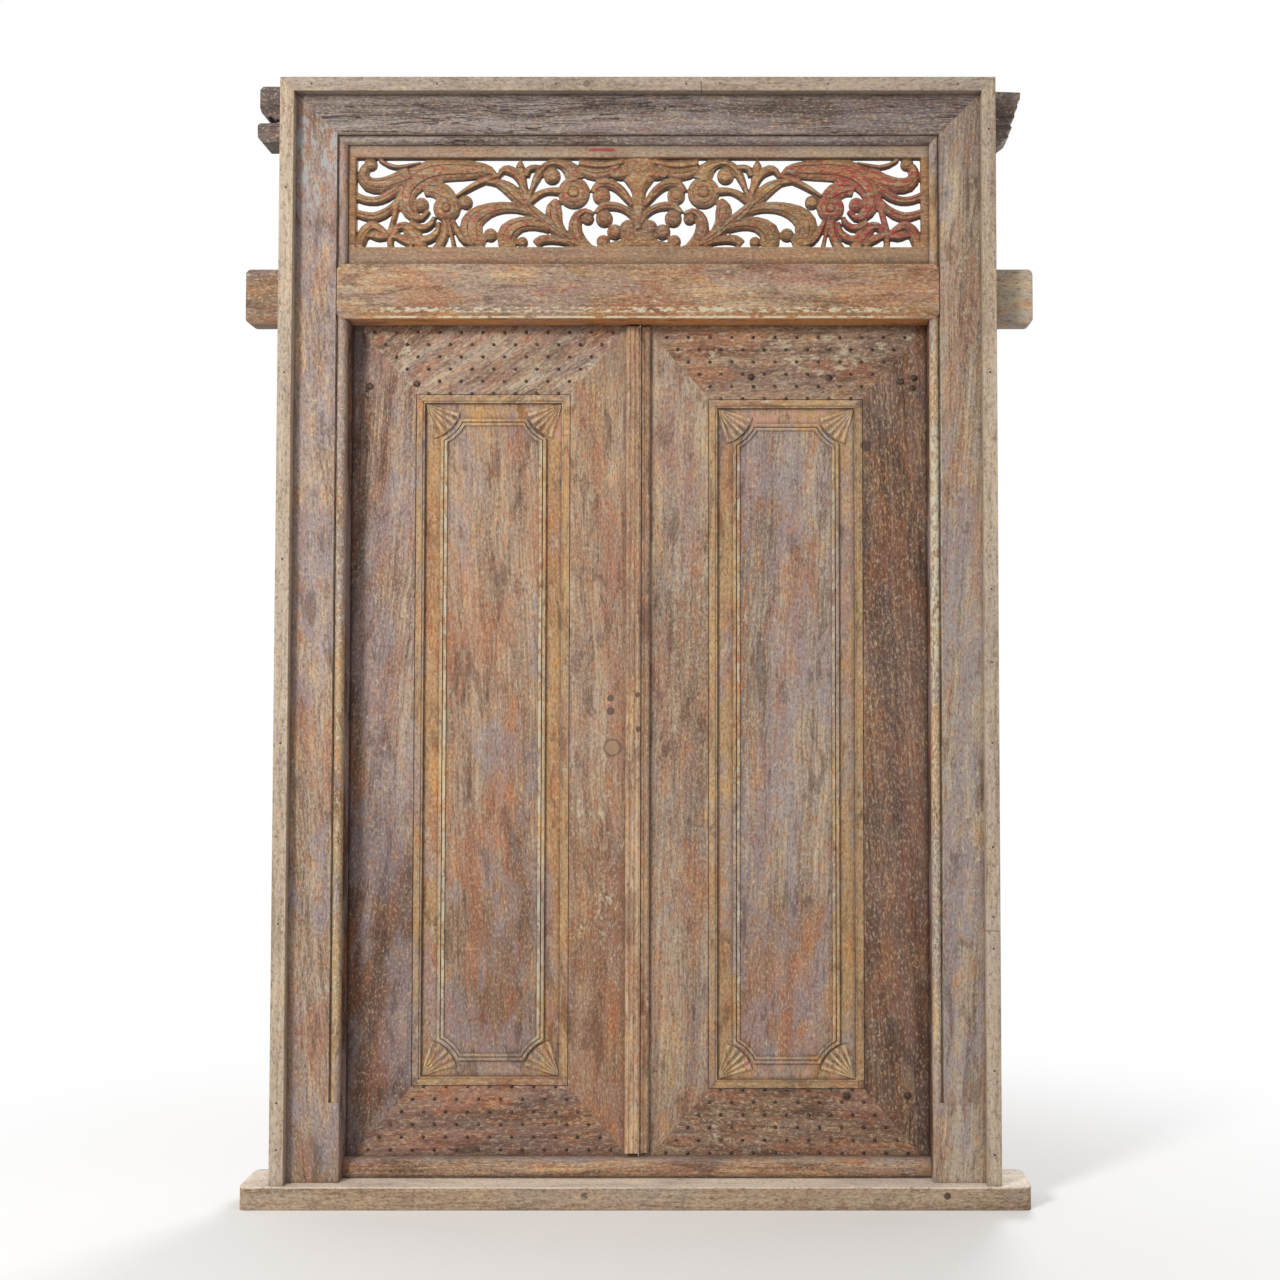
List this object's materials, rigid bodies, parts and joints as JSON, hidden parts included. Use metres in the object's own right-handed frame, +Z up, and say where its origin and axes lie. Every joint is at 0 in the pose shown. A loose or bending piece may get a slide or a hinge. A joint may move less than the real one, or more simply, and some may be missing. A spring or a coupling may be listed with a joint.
{
  "type": "temple door",
  "caption": "Antique carved teak temple door: two panelled leaves on wooden pivots in a heavy frame with a pierced floral carving over the transom.",
  "frame": {"origin": "middle of the sill's underside, at the centre of the overall box", "axes": "+X to the right seen from the front, +Y away from the viewer, +Z up"},
  "size_m": [1.846, 0.15, 2.588],
  "materials": {
    "grey_teak": "weathered",
    "golden_teak": "weathered",
    "red_brown_teak": "weathered",
    "pale_teak": "planed",
    "sill_teak": "worn",
    "iron": "dark, wrought"
  },
  "bodies": {
    "frame": {"sill": "sill_teak", "sill_plugs": "sill_teak", "threshold": "sill_teak", "left_post": "grey_teak", "right_post": "grey_teak", "head_beam": "grey_teak", "transom": "golden_teak", "carved_board": "golden_teak", "left_edge_strip": "pale_teak", "right_edge_strip_lower": "pale_teak", "right_edge_strip_upper": "pale_teak", "top_edge_strip_left": "pale_teak", "top_edge_strip_right": "pale_teak", "strip_nails": "iron"},
    "left_leaf": {"left_hanging_stile": "grey_teak", "left_meeting_stile": "grey_teak", "left_top_rail": "red_brown_teak", "left_bottom_rail": "red_brown_teak", "left_panel": "golden_teak", "left_top_rail_nails": "iron", "left_bottom_rail_nails": "iron", "left_large_nails": "iron", "cover_strip": "grey_teak"},
    "right_leaf": {"right_hanging_stile": "grey_teak", "right_meeting_stile": "grey_teak", "right_top_rail": "red_brown_teak", "right_bottom_rail": "red_brown_teak", "right_panel": "golden_teak", "right_top_rail_nails": "iron", "right_bottom_rail_nails": "iron", "right_large_nails": "iron"}
  },
  "joints": [
    {"name": "left_leaf_hinge", "type": "hinge", "parent": "frame", "child": "left_leaf", "pos_m": [-0.668, 0.051, 0.052], "axis": [0, 0, 1], "range_deg": [0, 85]},
    {"name": "right_leaf_hinge", "type": "hinge", "parent": "frame", "child": "right_leaf", "pos_m": [0.668, 0.051, 0.052], "axis": [0, 0, -1], "range_deg": [0, 93.5]}
  ],
  "couplings": [
    {"joint": "right_leaf_hinge", "follows": "left_leaf_hinge", "ratio": 1.1}
  ]
}
